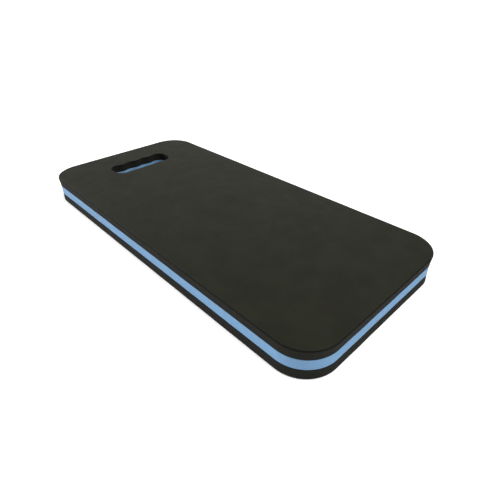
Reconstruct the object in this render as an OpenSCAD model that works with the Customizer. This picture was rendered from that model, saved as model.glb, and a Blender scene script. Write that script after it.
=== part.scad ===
// Kneeling pad: three sheets of EVA foam, laminated and die-cut as one piece with a carrying slot.
// Units are millimetres. The origin is the centre of the underside, +X runs along the pad towards
// the end with the hand slot, and +Z is up.

/* [Pad] */
// Length of the pad, along X
pad_length = 450; // [380:1:520]
// Width of the pad, along Y
pad_width = 208; // [180:1:240]
// Radius of the four corners, seen from above
corner_radius = 34; // [20:1:60]
// Radius of the softened edge around the kneeling face and the underside
edge_radius = 1.5; // [1:0.5:5]

/* [Layers] */
// Thickness of each of the two black outer sheets
outer_thickness = 10.5; // [6:0.5:16]
// Thickness of the blue sheet between them
core_thickness = 10.5; // [6:0.5:16]
// Thickness of each film of adhesive between two sheets
film_thickness = 0.25; // [0.1:0.05:0.5]

/* [Hand slot] */
// Width of the foam left between the slot and the end of the pad
end_web = 42; // [30:1:60]
// Opening of the slot along X, from its straight edge to the bottom of a finger scallop
slot_opening = 29.5; // [27:0.5:40]
// Distance of the slot's middle from the pad's middle line, along Y
slot_shift = -2.5; // [-10:0.5:10]
// Distance from one finger scallop to the next
finger_pitch = 21; // [18:0.5:25]
// Height of the rounded crests between the finger scallops
finger_crest = 2.2; // [1:0.1:5]
// Radius of the two corners at the slot's straight edge
slot_corner = 12; // [4:1:14]

/* [Hidden] */
$fn = 96;

FINGERS = 4;
// Every scallop is half a pitch in radius, so the last ones run straight into the slot's ends.
finger_radius = finger_pitch / 2;
slot_half = FINGERS * finger_pitch / 2;
slot_far = pad_length / 2 - end_web;
slot_near = slot_far - slot_opening;
finger_x = slot_far - finger_radius;
finger_y = [for (i = [0 : FINGERS - 1]) slot_shift + (i - (FINGERS - 1) / 2) * finger_pitch];

// A crest is an arc that meets the scallops on both sides of it in a smooth curve. The line from
// a scallop's centre to the crest's centre leans by crest_lean from the X axis.
crest_lean = 2 * atan(finger_crest / finger_radius);
crest_radius = finger_radius / sin(crest_lean) - finger_radius;
crest_x = finger_x + (finger_radius + crest_radius) * cos(crest_lean);

core_z = outer_thickness + film_thickness;
top_z = core_z + core_thickness + film_thickness;
straight_x = pad_length - 2 * corner_radius;
straight_y = pad_width - 2 * corner_radius;

FOAM_BLACK = [0.13, 0.13, 0.12];
FOAM_BLUE = [0.45, 0.62, 0.80];
ADHESIVE = [0.55, 0.50, 0.38];

// Section of a sheet beside its outer wall, from x = 0 to x = corner_radius, with its upper
// outer edge rounded.
module edge_section(thickness, rounding) {
  difference() {
    square([corner_radius, thickness]);
    translate([corner_radius - rounding, thickness - rounding])
      difference() {
        square(2 * rounding);
        circle(rounding);
      }
  }
}

// One straight side of a sheet. It runs along X, centred, with the outer wall towards -Y.
module straight_side(run, thickness, rounding) {
  translate([-run / 2, 0, 0])
    rotate([90, 0, 90])
      linear_extrude(run)
        mirror([1, 0])
          edge_section(thickness, rounding);
}

// A whole sheet with round corners and a rounded upper edge, standing on z = 0.
module rounded_sheet(thickness, rounding) {
  translate([-straight_x / 2, -straight_y / 2, 0])
    cube([straight_x, straight_y, thickness]);
  for (turn = [0, 180])
    rotate(turn) {
      translate([0, -straight_y / 2, 0])
        straight_side(straight_x, thickness, rounding);
      translate([straight_x / 2, 0, 0])
        rotate(90)
          straight_side(straight_y, thickness, rounding);
      translate([straight_x / 2, straight_y / 2, 0])
        rotate_extrude(angle = 90)
          edge_section(thickness, rounding);
      translate([straight_x / 2, -straight_y / 2, 0])
        rotate(-90)
          rotate_extrude(angle = 90)
            edge_section(thickness, rounding);
    }
}

// The crest between the scallops centred at y and at y + finger_pitch, as the area that the slot
// gains when the sharp point there is rounded off.
module crest_relief(y) {
  crest_centre = [crest_x, y + finger_pitch / 2];
  difference() {
    polygon([[finger_x, y], crest_centre, [finger_x, y + finger_pitch]]);
    translate(crest_centre)
      circle(crest_radius);
  }
}

// Outline of the hand slot: straight towards the middle of the pad, scalloped towards its end.
module slot_outline() {
  translate([0, slot_shift]) {
    translate([slot_near + slot_corner, -slot_half])
      square([finger_x - slot_near - slot_corner, 2 * slot_half]);
    translate([slot_near, slot_corner - slot_half])
      square([slot_corner, 2 * (slot_half - slot_corner)]);
    for (side = [-1, 1])
      translate([slot_near + slot_corner, side * (slot_half - slot_corner)])
        circle(slot_corner);
  }
  for (y = finger_y)
    translate([finger_x, y])
      circle(finger_radius);
  for (i = [0 : FINGERS - 2])
    crest_relief(finger_y[i]);
}

// A sheet with the hand slot cut through it, standing on z = 0.
module slotted_sheet(thickness, rounding) {
  difference() {
    rounded_sheet(thickness, rounding);
    translate([0, 0, -1])
      linear_extrude(thickness + 2)
        slot_outline();
  }
}

// A sheet or film with square edges, at height z.
module square_layer(z, thickness) {
  translate([0, 0, z])
    linear_extrude(thickness)
      difference() {
        union() {
          square([pad_length, straight_y], center = true);
          square([straight_x, pad_width], center = true);
          for (x = [-1, 1], y = [-1, 1])
            translate([x * straight_x / 2, y * straight_y / 2])
              circle(corner_radius);
        }
        slot_outline();
      }
}

module top_sheet() {
  color(FOAM_BLACK)
    translate([0, 0, top_z])
      slotted_sheet(outer_thickness, edge_radius);
}

module upper_bond_film() {
  color(ADHESIVE)
    square_layer(top_z - film_thickness, film_thickness);
}

module core_sheet() {
  color(FOAM_BLUE)
    square_layer(core_z, core_thickness);
}

module lower_bond_film() {
  color(ADHESIVE)
    square_layer(core_z - film_thickness, film_thickness);
}

module bottom_sheet() {
  color(FOAM_BLACK)
    translate([0, 0, outer_thickness])
      mirror([0, 0, 1])
        slotted_sheet(outer_thickness, edge_radius);
}

top_sheet();
upper_bond_film();
core_sheet();
lower_bond_film();
bottom_sheet();
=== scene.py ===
"""Looks of the kneeling pad: three die-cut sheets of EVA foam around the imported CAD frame.

Everything is in metres, in the CAD frame: X along the pad towards the hand slot, Z up, and the
origin in the middle of the underside. Each foam sheet is one closed mesh, built from a traced
outline and a section of the cut wall, and stands for its plain CAD sheet.
"""

import math

import bpy
import numpy as np
from mathutils import Matrix, Vector, noise
from mathutils.geometry import delaunay_2d_cdt

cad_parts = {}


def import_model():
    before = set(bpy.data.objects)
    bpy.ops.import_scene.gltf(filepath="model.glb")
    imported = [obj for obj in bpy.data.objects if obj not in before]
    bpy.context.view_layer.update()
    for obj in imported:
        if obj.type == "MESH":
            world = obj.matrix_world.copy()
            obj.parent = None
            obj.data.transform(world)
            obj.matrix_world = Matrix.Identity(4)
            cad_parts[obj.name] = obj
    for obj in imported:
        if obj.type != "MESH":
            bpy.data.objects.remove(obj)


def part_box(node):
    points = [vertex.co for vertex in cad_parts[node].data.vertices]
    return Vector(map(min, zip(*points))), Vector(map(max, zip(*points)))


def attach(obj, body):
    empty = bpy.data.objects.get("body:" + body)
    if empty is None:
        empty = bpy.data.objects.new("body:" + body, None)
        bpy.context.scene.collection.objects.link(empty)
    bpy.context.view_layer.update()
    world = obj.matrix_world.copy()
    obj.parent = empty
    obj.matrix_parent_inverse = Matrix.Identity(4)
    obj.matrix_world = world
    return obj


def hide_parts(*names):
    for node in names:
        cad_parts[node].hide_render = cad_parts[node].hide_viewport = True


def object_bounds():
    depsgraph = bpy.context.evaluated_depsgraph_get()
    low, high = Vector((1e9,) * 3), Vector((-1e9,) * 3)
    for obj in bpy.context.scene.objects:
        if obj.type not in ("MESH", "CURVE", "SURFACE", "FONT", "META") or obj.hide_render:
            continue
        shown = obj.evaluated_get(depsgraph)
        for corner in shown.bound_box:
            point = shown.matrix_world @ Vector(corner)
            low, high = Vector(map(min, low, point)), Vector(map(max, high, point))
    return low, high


MM = 0.001

# Outline of the pad and of its hand slot, as the CAD part has them
CORNER_RADIUS = 34 * MM
END_WEB = 42 * MM
SLOT_OPENING = 29.5 * MM
SLOT_CORNER = 12 * MM
SLOT_SHIFT = -2.5 * MM
FINGERS = 4
FINGER_PITCH = 21 * MM
FINGER_CREST = 2.2 * MM

# The die presses the foam as it cuts: the faces roll over at the edge, and the wall is drawn in
# at half height once the foam springs back.
RIM_RADIUS = 1.5 * MM
SLOT_RIM_RADIUS = 0.8 * MM
WALL_DRAW_IN = 0.8 * MM
SLOT_WALL_DRAW_IN = 1.5 * MM
BOND_EDGE_RADIUS = 0.22 * MM
GLUE_SET_BACK = 0.45 * MM
ROLL_OFF = 0.06 * MM
ROLL_OFF_REACH = 5 * MM

# Unevenness of the soft sheets
FACE_WAVE = 0.12 * MM
FACE_WAVE_SIZE = 45 * MM
FACE_WAVE_SEED = 5
WALL_WAVE = 0.15 * MM
WALL_WAVE_SIZE = 22 * MM
WALL_WAVE_SEED = 1
SEED_SHIFT = Vector((3.1, 1.7, 2.3))
# How fast the bending of the pad's faces dies away towards half its thickness
BEND_POWER = 8

# The moulded skin ends where the rim has turned this far from flat
SKIN_LEAST_SLOPE = math.cos(math.radians(35))

# Colours, as linear red, green and blue
SKIN_DARK = (0.0098, 0.0103, 0.0052)
SKIN_LIGHT = (0.0125, 0.0131, 0.0069)
SKIN_SPECK = (0.0178, 0.0178, 0.0111)
CUT_DARK = (0.0120, 0.0120, 0.0099)
CUT_LIGHT = (0.0163, 0.0159, 0.0134)
# Painted shade in the middles of the open pores of the black foam
CUT_PORE_SHADE = (0.0045, 0.0045, 0.0035)
# Painted shade just below the rims of the cut wall
CUT_PAINTED_RIM_SHADE = (0.0020, 0.0020, 0.0020)
BLUE_DARK = (0.136, 0.273, 0.449)
BLUE_LIGHT = (0.154, 0.295, 0.481)
BLUE_STREAK = (0.194, 0.343, 0.525)
# Painted shade in the middles of the open pores of the blue foam
BLUE_PORE_SHADE = (0.088, 0.202, 0.356)
GLUE_CLEAR = (0.030, 0.040, 0.055)
GLUE_DUSTY = (0.090, 0.120, 0.160)
FLOOR_SHADES = ((0.89, 0.89, 0.89), (0.91, 0.91, 0.91))
WHITE = (1, 1, 1)

# Gloss of each material, as its specular level
SKIN_GLOSS = 0.13
CUT_GLOSS = 0.06
BLUE_GLOSS = 0.3
GLUE_GLOSS = 0.5

# Painted shade below the rim: how far down the cut wall it reaches, fading between the two depths
RIM_SHADE_DEPTHS = (1.2 * MM, 2.2 * MM)

# Spacing of the mesh
OUTLINE_STEP = 2 * MM
SLOT_STEP = 1 * MM
WALL_STEP = 1.1 * MM
FACE_STEP = 4 * MM
HIDDEN_FACE_STEP = 14 * MM
FACE_RINGS = (8 * MM, 6 * MM, 4.4 * MM, 3 * MM, 1.8 * MM, 0.8 * MM)
ARC_LEAST_STEPS = 4
# A quarter round larger than this has more steps than a smaller one
LARGE_ROUND = 1 * MM
LARGE_ROUND_STEPS = 8
SMALL_ROUND_STEPS = 3
# Points closer than this are one point
SAME_POINT = 1e-7
TRIANGLE_TOLERANCE = 1e-9
# How many points distance_to handles at a time, to save memory
POINT_BLOCK = 2000

# The photograph's camera
CAMERA_AZIMUTH = 226.17
CAMERA_ELEVATION = 34.81
CAMERA_ROLL = -0.26
CAMERA_DISTANCE = 427 * MM
CAMERA_TARGET = (-63.8 * MM, 6 * MM, 0)
CAMERA_LENS = 27.83
CAMERA_SENSOR = 36
CAMERA_CLIP = (0.01, 100)

# Soft lights of the studio: where each one is, and its strength. The glow of each falls off as
# the cosine of the angle from its middle, to the power LIGHT_POWER.
LIGHTS = (
    ((0.8, 0.46, 0.37), 15.9),
    ((-0.5, -0.5, 0.71), 6.0),
    ((-0.68, -0.18, 0.71), 4.9),
    ((-0.37, 0, 0.93), 3.5),
    ((0.46, -0.8, 0.37), 1.7),
    ((0.8, -0.46, 0.37), 1.2),
)
LIGHT_POWER = 24
AMBIENT = 0.005
# The floor glows a little, which keeps the shadows on it faint
FLOOR_GLOW = 0.345
FLOOR_REACH = 30
FLOOR_GAP = 0.2 * MM


def rounded_rectangle(length, width, radius):
    """Arcs of a centred rectangle with round corners, counter-clockwise."""
    x, y = length / 2 - radius, width / 2 - radius
    return [
        (x, -y, radius, -90, 0),
        (x, y, radius, 0, 90),
        (-x, y, radius, 90, 180),
        (-x, -y, radius, 180, 270),
    ]


def hand_slot(pad_length):
    """Arcs of the slot, counter-clockwise: scallops towards the pad's end, straight behind."""
    scallop = FINGER_PITCH / 2
    half = FINGERS * scallop
    far = pad_length / 2 - END_WEB
    scallop_x = far - scallop
    lean = 2 * math.atan(FINGER_CREST / scallop)
    crest = scallop / math.sin(lean) - scallop
    crest_x = scallop_x + (scallop + crest) * math.cos(lean)
    rise = math.degrees(math.atan2(scallop, crest_x - scallop_x))
    arcs = []
    for i in range(FINGERS):
        y = SLOT_SHIFT + (2 * i + 1) * scallop - half
        start = -90 if i == 0 else -rise
        end = 90 if i == FINGERS - 1 else rise
        arcs.append((scallop_x, y, scallop, start, end))
        if i < FINGERS - 1:
            arcs.append((crest_x, y + scallop, crest, 180 + rise, 180 - rise))
    near = far - SLOT_OPENING + SLOT_CORNER
    arcs.append((near, SLOT_SHIFT + half - SLOT_CORNER, SLOT_CORNER, 90, 180))
    arcs.append((near, SLOT_SHIFT + SLOT_CORNER - half, SLOT_CORNER, 180, 270))
    return arcs


def trace(arcs, step):
    """Points of the closed path through the arcs and the straight lines between them, and the
    normals on its right-hand side."""
    points, normals = [], []
    for i, (x, y, radius, start, end) in enumerate(arcs):
        side = 1 if end > start else -1
        count = math.ceil(radius * math.radians(abs(end - start)) / step)
        count = max(ARC_LEAST_STEPS, count)
        for angle in np.radians(np.linspace(start, end, count + 1)):
            along = np.array((math.cos(angle), math.sin(angle)))
            points.append(np.array((x, y)) + radius * along)
            normals.append(side * along)
        nx, ny, nr, nstart, _ = arcs[(i + 1) % len(arcs)]
        nstart = math.radians(nstart)
        gap = np.array((nx + nr * math.cos(nstart), ny + nr * math.sin(nstart))) - points[-1]
        distance = np.linalg.norm(gap)
        if distance < SAME_POINT:
            points.pop()
            normals.pop()
            continue
        last, count = points[-1], math.ceil(distance / step)
        for k in range(1, count):
            points.append(last + gap * k / count)
            normals.append(normals[-1])
    return np.array(points), np.array(normals)


def edge_arc(radius, steps):
    """(inset, drop) along a quarter round, from the flat face down to the wall."""
    turns = np.radians(np.linspace(0, 90, steps + 1))
    return [(radius * (1 - math.sin(t)), radius * (1 - math.cos(t))) for t in turns]


def section(low, high, low_radius, high_radius):
    """(inset, height) down the cut edge of a sheet, from a ring on its upper face to the same
    ring on its lower face."""

    def end_rows(radius):
        steps = LARGE_ROUND_STEPS if radius > LARGE_ROUND else SMALL_ROUND_STEPS
        return [(radius + ring, 0.0) for ring in FACE_RINGS] + edge_arc(radius, steps)

    upper = [(inset, high - drop) for inset, drop in end_rows(high_radius)]
    lower = [(inset, low + drop) for inset, drop in end_rows(low_radius)]
    top, bottom = high - high_radius, low + low_radius
    count = math.ceil((top - bottom) / WALL_STEP)
    wall = [(0.0, top + (bottom - top) * k / count) for k in range(1, count)]
    return upper + wall + lower[::-1]


def wave(points, size, seed):
    """Smooth noise of about -1 to 1 at each point."""
    values = [noise.noise(Vector(p) / size + seed * SEED_SHIFT) for p in points]
    return 2 * np.array(values)


def wall_inset(height, thickness, rim, draw_in):
    """How far the cut wall of the whole pad is drawn in at each height."""
    across = (height - thickness / 2) / (thickness / 2 - rim)
    return draw_in * np.maximum(0, 1 - across**2)


def loop_grid(points, normals, rows, thickness, rim, draw_in):
    """Vertices of a cut edge: one ring of points for each row of its section."""
    inset = np.array([r[0] for r in rows])[:, None]
    height = np.array([r[1] for r in rows])[:, None] + np.zeros(len(points))
    flat = np.stack([points[:, 0] + 0 * inset, points[:, 1] + 0 * inset, height], 2)
    # the wall's own shape fades out over the first millimetres of the faces
    near_wall = np.clip(1 - inset / FACE_RINGS[0], 0, 1) ** 2
    inset = inset + near_wall * wall_inset(height, thickness, rim, draw_in)
    ripple = wave(flat.reshape(-1, 3), WALL_WAVE_SIZE, WALL_WAVE_SEED).reshape(height.shape)
    inset = inset + near_wall * WALL_WAVE * (ripple + 1) / 2
    x = points[:, 0] - normals[:, 0] * inset
    y = points[:, 1] - normals[:, 1] * inset
    return np.stack([x, y, height], 2)


def inside(point, loop):
    """Whether a point lies inside a closed loop of points."""
    x, y = point
    ax, ay = loop[:, 0], loop[:, 1]
    bx, by = np.roll(ax, -1), np.roll(ay, -1)
    crosses = (ay > y) != (by > y)
    with np.errstate(divide="ignore", invalid="ignore"):
        reach = (bx - ax) * (y - ay) / (by - ay) + ax
    return np.count_nonzero(crosses & (x < reach)) % 2 == 1


def fill_points(outer, hole, step):
    """Points of a triangular lattice between two loops, kept clear of both."""
    low, high = outer.min(0), outer.max(0)
    loops = np.concatenate([outer, hole])
    found = []
    rows = math.floor((high[1] - low[1]) / (step * math.sin(math.radians(60))))
    for j in range(1, rows):
        y = low[1] + (high[1] - low[1]) * j / rows
        for x in np.arange(low[0] + step * (0.5 if j % 2 else 1.0), high[0], step):
            gap = np.abs(loops - (x, y)).max(1).min()
            if gap > 0.5 * step and inside((x, y), outer) and not inside((x, y), hole):
                found.append((x, y))
    return np.array(found)


def fill(outer, hole, step):
    """New points between the two loops, and triangles over loops and points, seen from above."""
    extra = fill_points(outer, hole, step)
    points = np.concatenate([outer, hole, extra])
    n, m = len(outer), len(hole)
    edges = [(i, (i + 1) % n) for i in range(n)]
    edges += [(n + i, n + (i + 1) % m) for i in range(m)]
    made = delaunay_2d_cdt([Vector(p) for p in points], edges, [], 0, TRIANGLE_TOLERANCE)
    vertices, triangles, sources = made[0], made[2], made[3]
    kept = []
    for triangle in triangles:
        centre = sum((Vector(vertices[i]) for i in triangle), Vector((0, 0))) / 3
        if inside(centre, outer) and not inside(centre, hole):
            kept.append([sources[i][0] for i in triangle])
    return extra, kept


class FoamSheet:
    """Gathers the vertices and faces of one sheet of foam."""

    def __init__(self):
        self.vertices = []
        self.faces = []
        self.count = 0

    def add(self, points):
        """Adds points and returns the index of the first."""
        first = self.count
        self.vertices.append(np.asarray(points, float).reshape(-1, 3))
        self.count += len(self.vertices[-1])
        return first

    def add_wall(self, grid, outwards):
        """Adds a cut edge and returns the indices of its first and its last ring."""
        rows, columns = grid.shape[:2]
        first = self.add(grid)
        index = first + np.arange(rows * columns).reshape(rows, columns)
        for a, b in zip(index, index[1:]):
            for i in range(columns):
                j = (i + 1) % columns
                quad = [a[i], b[i], b[j], a[j]]
                self.faces.append(quad if outwards else quad[::-1])
        return index[0], index[-1]

    def add_face(self, outer_ring, slot_ring, step, upwards):
        """Closes the sheet's upper or lower side between the two rings."""
        known = np.concatenate(self.vertices)
        outer, hole = known[outer_ring], known[slot_ring]
        extra, triangles = fill(outer[:, :2], hole[:, :2], step)
        height = np.full(len(extra), outer[0, 2])
        first = self.add(np.column_stack([extra, height]))
        index = np.concatenate([outer_ring, slot_ring, first + np.arange(len(extra))])
        for triangle in triangles:
            face = [index[i] for i in triangle]
            self.faces.append(face if upwards else face[::-1])

    def build(self, name):
        """The finished Blender object."""
        mesh = bpy.data.meshes.new(name)
        faces = [[int(i) for i in face] for face in self.faces]
        mesh.from_pydata(np.concatenate(self.vertices).tolist(), [], faces)
        mesh.validate()
        mesh.shade_smooth()
        piece = bpy.data.objects.new(name, mesh)
        bpy.context.scene.collection.objects.link(piece)
        return piece


def bend_faces(vertices, outer_edge, thickness):
    """Lets the two outer faces of the pad wave gently and roll off towards the cut edges."""
    across = 2 * vertices[:, 2] / thickness - 1
    outermost = np.sign(across) * across**BEND_POWER
    lift = FACE_WAVE * (wave(vertices * (1, 1, 0), FACE_WAVE_SIZE, FACE_WAVE_SEED) - 1) / 2
    roll = -ROLL_OFF * np.exp(-outer_edge / ROLL_OFF_REACH)
    vertices[:, 2] += outermost * (lift + roll)


def distance_to(points, loops):
    """Distance from each point to the nearest point of the loops, seen from above."""
    out = np.empty(len(points))
    for start in range(0, len(points), POINT_BLOCK):
        block = slice(start, start + POINT_BLOCK)
        gaps = points[block, None, :2] - loops[None]
        out[block] = np.sqrt((gaps**2).sum(2).min(1))
    return out


def add_walls(sheet, pad, rows_for):
    """Adds the outer wall and the slot's wall to a sheet. rows_for gives a wall's section, from
    the radius of its rim. Returns the two rings at the top and the two at the bottom."""
    rings = []
    for loop, rim, draw_in, outwards in (
        (pad["outer"], RIM_RADIUS, WALL_DRAW_IN, True),
        (pad["slot"], SLOT_RIM_RADIUS, SLOT_WALL_DRAW_IN, False),
    ):
        grid = loop_grid(*loop, rows_for(rim), pad["thickness"], rim, draw_in)
        rings.append(sheet.add_wall(grid, outwards))
    return zip(*rings)


def foam_sheet(name, node, pad, visible_low, visible_high):
    """One sheet of foam in the place of a CAD node. A visible side has the rolled rim of the
    pad's faces, and a hidden one the small round of a glued edge."""
    low, high = (corner.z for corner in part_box(node))

    def rows_for(rim):
        low_radius = rim if visible_low else BOND_EDGE_RADIUS
        high_radius = rim if visible_high else BOND_EDGE_RADIUS
        return section(low, high, low_radius, high_radius)

    sheet = FoamSheet()
    top_rings, bottom_rings = add_walls(sheet, pad, rows_for)
    sheet.add_face(*top_rings, FACE_STEP if visible_high else HIDDEN_FACE_STEP, True)
    sheet.add_face(*bottom_rings, FACE_STEP if visible_low else HIDDEN_FACE_STEP, False)
    vertices = np.concatenate(sheet.vertices)
    edges = np.concatenate([pad["outer"][0], pad["slot"][0]])
    bend_faces(vertices, distance_to(vertices, edges), pad["thickness"])
    sheet.vertices = [vertices]
    piece = sheet.build(name)
    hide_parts(node)
    return piece


def glue_line(name, node, pad):
    """The film of glue between two sheets, set back a little from the cut edge."""
    low, high = (corner.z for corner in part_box(node))
    sheet = FoamSheet()
    rows = [(GLUE_SET_BACK, high), (GLUE_SET_BACK, low)]
    top_rings, bottom_rings = add_walls(sheet, pad, lambda rim: rows)
    sheet.add_face(*top_rings, HIDDEN_FACE_STEP, True)
    sheet.add_face(*bottom_rings, HIDDEN_FACE_STEP, False)
    piece = sheet.build(name)
    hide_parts(node)
    return piece


class Nodes:
    """Short calls for building a node tree."""

    def __init__(self, tree):
        self.tree = tree

    def new(self, kind, **settings):
        node = self.tree.nodes.new(kind)
        for name, value in settings.items():
            setattr(node, name, value)
        return node

    def link(self, source, target):
        self.tree.links.new(source, target)

    def remap(self, value, low, high, new_low=0.0, new_high=1.0):
        node = self.new("ShaderNodeMapRange", interpolation_type="SMOOTHSTEP")
        self.link(value, node.inputs["Value"])
        node.inputs["From Min"].default_value = low
        node.inputs["From Max"].default_value = high
        node.inputs["To Min"].default_value = new_low
        node.inputs["To Max"].default_value = new_high
        return node.outputs["Result"]

    def math(self, operation, a, b):
        node = self.new("ShaderNodeMath", operation=operation)
        for socket, value in zip(node.inputs, (a, b)):
            if isinstance(value, (int, float)):
                socket.default_value = value
            else:
                self.link(value, socket)
        return node.outputs["Value"]

    def blend(self, factor, a, b):
        """Colour a at factor 0 and b at factor 1. Each is a colour or a socket."""
        node = self.new("ShaderNodeMix", data_type="RGBA")
        self.link(factor, node.inputs["Factor"])
        for name, value in (("A", a), ("B", b)):
            socket = next(s for s in node.inputs if s.name == name and s.type == "RGBA")
            if isinstance(value, tuple):
                socket.default_value = (*value, 1)
            else:
                self.link(value, socket)
        return next(s for s in node.outputs if s.type == "RGBA")


class Surface(Nodes):
    """A material, built on the object's own coordinates."""

    def __init__(self, name):
        self.material = bpy.data.materials.new(name)
        self.material.use_nodes = True
        super().__init__(self.material.node_tree)
        self.shader = self.tree.nodes["Principled BSDF"]
        self.place = self.new("ShaderNodeTexCoord").outputs["Object"]

    def stretched(self, scale):
        """The object's own coordinates, times a scale for each axis."""
        node = self.new("ShaderNodeMapping")
        self.link(self.place, node.inputs["Vector"])
        node.inputs["Scale"].default_value = scale
        return node.outputs["Vector"]

    def clouds(self, size, detail=3.0, rough=0.5, place=None):
        """Noise from 0 to 1 with features of about that size."""
        node = self.new("ShaderNodeTexNoise")
        self.link(place or self.place, node.inputs["Vector"])
        node.inputs["Scale"].default_value = 1 / size
        node.inputs["Detail"].default_value = detail
        node.inputs["Roughness"].default_value = rough
        return node.outputs["Fac"]

    def cells(self, size):
        """Distance to the middle of the nearest foam cell, in cells."""
        node = self.new("ShaderNodeTexVoronoi")
        self.link(self.place, node.inputs["Vector"])
        node.inputs["Scale"].default_value = 1 / size
        return node.outputs["Distance"]

    def relief(self, height, depth, below=None):
        """Bump of that depth in metres, on top of another."""
        node = self.new("ShaderNodeBump")
        self.link(height, node.inputs["Height"])
        node.inputs["Distance"].default_value = depth
        node.inputs["Strength"].default_value = 1.0
        if below is not None:
            self.link(below, node.inputs["Normal"])
        return node.outputs["Normal"]

    def height(self):
        """Height above the underside of the pad."""
        node = self.new("ShaderNodeSeparateXYZ")
        self.link(self.place, node.inputs["Vector"])
        return node.outputs["Z"]

    def finish(self, colour, roughness, normal, specular):
        """Connects the shader and returns the material. Specular has to be a plain number."""
        self.link(colour, self.shader.inputs["Base Color"])
        self.link(roughness, self.shader.inputs["Roughness"])
        self.link(normal, self.shader.inputs["Normal"])
        self.shader.inputs["Specular IOR Level"].default_value = specular
        return self.material


def moulded_skin():
    """Black EVA foam as it leaves the mould: a satin skin, with its cells closed."""
    nodes = Surface("moulded_skin")
    cloud = nodes.remap(nodes.clouds(30 * MM, 5, 0.6), 0.36, 0.64)
    speck = nodes.remap(nodes.clouds(0.9 * MM, 2, 0.7), 0.62, 0.74)
    colour = nodes.blend(speck, nodes.blend(cloud, SKIN_DARK, SKIN_LIGHT), SKIN_SPECK)
    worn = nodes.clouds(16 * MM, 4, 0.6)
    roughness = nodes.remap(worn, 0.3, 0.7, 0.57, 0.63)
    grain = nodes.relief(nodes.clouds(0.55 * MM, 3, 0.6), 0.08 * MM)
    dimples = nodes.remap(nodes.cells(0.8 * MM), 0.0, 0.35)
    return nodes.finish(colour, roughness, nodes.relief(dimples, 0.06 * MM, grain), SKIN_GLOSS)


def cut_black_foam(thickness):
    """Black EVA foam where the die has cut it: open pores with painted shade in them, faint
    streaks down the cut, and a band of painted shade along the rims."""
    nodes = Surface("cut_black_foam")
    streak = nodes.clouds(1.0, 3, 0.6, nodes.stretched((900, 900, 90)))
    colour = nodes.blend(nodes.remap(streak, 0.3, 0.7), CUT_DARK, CUT_LIGHT)
    # Painted shade: the middles of the open pores are darker
    pore_shade = nodes.remap(nodes.cells(0.45 * MM), 0.0, 0.25, 0.4, 0.0)
    colour = nodes.blend(pore_shade, colour, CUT_PORE_SHADE)
    # Painted shade: the cut wall is darker just below the pad's upper face and just above its
    # lower one
    above_middle = nodes.math("SUBTRACT", nodes.height(), thickness / 2)
    from_middle = nodes.math("ABSOLUTE", above_middle, 0)
    dark, clear = (thickness / 2 - depth for depth in RIM_SHADE_DEPTHS)
    rim_shade = nodes.remap(from_middle, clear, dark, 0.0, 0.6)
    colour = nodes.blend(rim_shade, colour, CUT_PAINTED_RIM_SHADE)
    roughness = nodes.remap(streak, 0.3, 0.7, 0.74, 0.86)
    pores = nodes.relief(nodes.cells(0.45 * MM), 0.18 * MM)
    return nodes.finish(colour, roughness, nodes.relief(streak, 0.12 * MM, pores), CUT_GLOSS)


def cut_blue_foam():
    """Light blue EVA foam, seen only where the die has cut it."""
    nodes = Surface("cut_blue_foam")
    streak = nodes.clouds(1.0, 3, 0.6, nodes.stretched((800, 800, 80)))
    cloud = nodes.remap(nodes.clouds(24 * MM, 4, 0.6), 0.3, 0.7)
    colour = nodes.blend(cloud, BLUE_DARK, BLUE_LIGHT)
    colour = nodes.blend(nodes.remap(streak, 0.45, 0.75, 0.0, 0.4), colour, BLUE_STREAK)
    # Painted shade: the middles of the open pores are darker
    pore_shade = nodes.remap(nodes.cells(0.6 * MM), 0.0, 0.22, 0.45, 0.0)
    colour = nodes.blend(pore_shade, colour, BLUE_PORE_SHADE)
    roughness = nodes.remap(cloud, 0.0, 1.0, 0.68, 0.8)
    pores = nodes.relief(nodes.cells(0.5 * MM), 0.15 * MM)
    return nodes.finish(colour, roughness, nodes.relief(streak, 0.14 * MM, pores), BLUE_GLOSS)


def contact_glue():
    """Clear glue that has taken dust and foam crumbs."""
    nodes = Surface("contact_glue")
    dust = nodes.remap(nodes.clouds(2.5 * MM, 3, 0.6), 0.35, 0.65)
    colour = nodes.blend(dust, GLUE_CLEAR, GLUE_DUSTY)
    roughness = nodes.remap(dust, 0.0, 1.0, 0.35, 0.6)
    grain = nodes.relief(nodes.clouds(0.8 * MM), 0.05 * MM)
    return nodes.finish(colour, roughness, grain, GLUE_GLOSS)


def paint_sheet(piece, skin, cut, thickness):
    """Gives the pad's outer faces their skin, up to where they roll over, and the cut foam to
    all the rest."""
    piece.data.materials.append(skin)
    piece.data.materials.append(cut)
    for polygon in piece.data.polygons:
        depth = min(polygon.center.z, thickness - polygon.center.z)
        is_skin = depth < RIM_RADIUS and abs(polygon.normal.z) > SKIN_LEAST_SLOPE
        polygon.material_index = 0 if is_skin else 1


def studio_floor():
    """A wide white floor at the height the pad rests on, lit from within so that the shadows on
    it stay faint."""
    nodes = Surface("studio_floor")
    tone = nodes.remap(nodes.clouds(0.8, 2), 0.3, 0.7)
    nodes.link(nodes.blend(tone, *FLOOR_SHADES), nodes.shader.inputs["Base Color"])
    nodes.shader.inputs["Roughness"].default_value = 1.0
    nodes.shader.inputs["Specular IOR Level"].default_value = 0.0
    nodes.shader.inputs["Emission Color"].default_value = (*WHITE, 1)
    nodes.shader.inputs["Emission Strength"].default_value = FLOOR_GLOW
    corners = [(-1, -1, 0), (1, -1, 0), (1, 1, 0), (-1, 1, 0)]
    mesh = bpy.data.meshes.new("studio_floor")
    mesh.from_pydata([[FLOOR_REACH * c for c in corner] for corner in corners], [], [(0, 1, 2, 3)])
    mesh.materials.append(nodes.material)
    floor = bpy.data.objects.new("studio_floor", mesh)
    floor.location.z = -FLOOR_GAP
    bpy.context.scene.collection.objects.link(floor)


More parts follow.
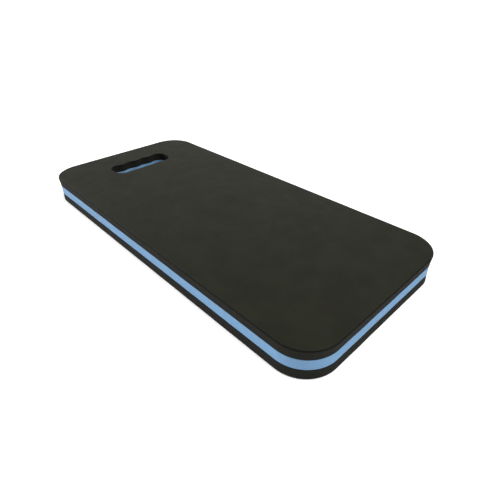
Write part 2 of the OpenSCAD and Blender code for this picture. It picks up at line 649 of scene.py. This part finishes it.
def camera_axes(azimuth, elevation, roll):
    """Right, up and back of a camera that looks down at the pad."""
    a, e, r = (math.radians(angle) for angle in (azimuth, elevation, roll))
    back = Vector((math.sin(a) * math.cos(e), -math.cos(a) * math.cos(e), math.sin(e)))
    level = Vector((math.cos(a), math.sin(a), 0))
    up = back.cross(level)
    return (
        level * math.cos(r) + up * math.sin(r),
        up * math.cos(r) - level * math.sin(r),
        back,
    )


def add_camera():
    """The camera at the photograph's viewing angle."""
    right, up, back = camera_axes(CAMERA_AZIMUTH, CAMERA_ELEVATION, CAMERA_ROLL)
    place = Vector(CAMERA_TARGET) + back * CAMERA_DISTANCE
    data = bpy.data.cameras.new("camera")
    data.lens = CAMERA_LENS
    data.sensor_width = CAMERA_SENSOR
    data.clip_start, data.clip_end = CAMERA_CLIP
    camera = bpy.data.objects.new("camera", data)
    camera.matrix_world = Matrix((
        (right.x, up.x, back.x, place.x),
        (right.y, up.y, back.y, place.y),
        (right.z, up.z, back.z, place.z),
        (0, 0, 0, 1),
    ))
    bpy.context.scene.collection.objects.link(camera)
    bpy.context.scene.camera = camera


class World(Nodes):
    """The light that falls on the scene from all around."""

    def __init__(self, name):
        self.world = bpy.data.worlds.new(name)
        self.world.use_nodes = True
        super().__init__(self.world.node_tree)
        self.direction = self.new("ShaderNodeTexCoord").outputs["Generated"]

    def lamp(self, towards, strength):
        """Glow of a round soft light in that direction."""
        node = self.new("ShaderNodeVectorMath", operation="DOT_PRODUCT")
        self.link(self.direction, node.inputs[0])
        node.inputs[1].default_value = Vector(towards).normalized()
        facing = self.math("MAXIMUM", node.outputs["Value"], 0.0)
        return self.math("MULTIPLY", self.math("POWER", facing, LIGHT_POWER), strength)

    def background(self, strength):
        """White background of a strength that is a number or a socket."""
        node = self.new("ShaderNodeBackground")
        node.inputs["Color"].default_value = (*WHITE, 1)
        if isinstance(strength, (int, float)):
            node.inputs["Strength"].default_value = strength
        else:
            self.link(strength, node.inputs["Strength"])
        return node.outputs["Background"]


def add_light():
    """A dim dome with the studio's soft lights in it, which the camera sees as plain white."""
    world = World("studio")
    bpy.context.scene.world = world.world
    total = AMBIENT
    for towards, strength in LIGHTS:
        total = world.math("ADD", world.lamp(towards, strength), total)
    seen = world.new("ShaderNodeMixShader")
    world.link(world.new("ShaderNodeLightPath").outputs["Is Camera Ray"], seen.inputs["Fac"])
    world.link(world.background(total), seen.inputs[1])
    world.link(world.background(1.0), seen.inputs[2])
    world.link(seen.outputs["Shader"], world.tree.nodes["World Output"].inputs["Surface"])


def finish_piece(piece):
    """Gives a piece its body."""
    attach(piece, "root")


def add_pad(length, width, thickness):
    """The three sheets of foam and the two lines of glue between them."""
    outer = trace(rounded_rectangle(length, width, CORNER_RADIUS), OUTLINE_STEP)
    slot_points, slot_normals = trace(hand_slot(length), SLOT_STEP)
    pad = {"outer": outer, "slot": (slot_points, -slot_normals), "thickness": thickness}
    skin, cut = moulded_skin(), cut_black_foam(thickness)
    for name, node, low_shows, high_shows in (
        ("top_foam", "top_sheet", False, True),
        ("bottom_foam", "bottom_sheet", True, False),
    ):
        sheet = foam_sheet(name, node, pad, low_shows, high_shows)
        paint_sheet(sheet, skin, cut, thickness)
        finish_piece(sheet)
    core = foam_sheet("core_foam", "core_sheet", pad, False, False)
    core.data.materials.append(cut_blue_foam())
    finish_piece(core)
    glue = contact_glue()
    for name, node in (
        ("upper_glue_line", "upper_bond_film"),
        ("lower_glue_line", "lower_bond_film"),
    ):
        line = glue_line(name, node, pad)
        line.data.materials.append(glue)
        finish_piece(line)


def main():
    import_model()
    cad_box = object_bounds()
    low, high = cad_box
    bpy.context.scene.view_settings.view_transform = "Standard"
    add_camera()
    add_light()
    studio_floor()
    add_pad(*(high - low))


main()
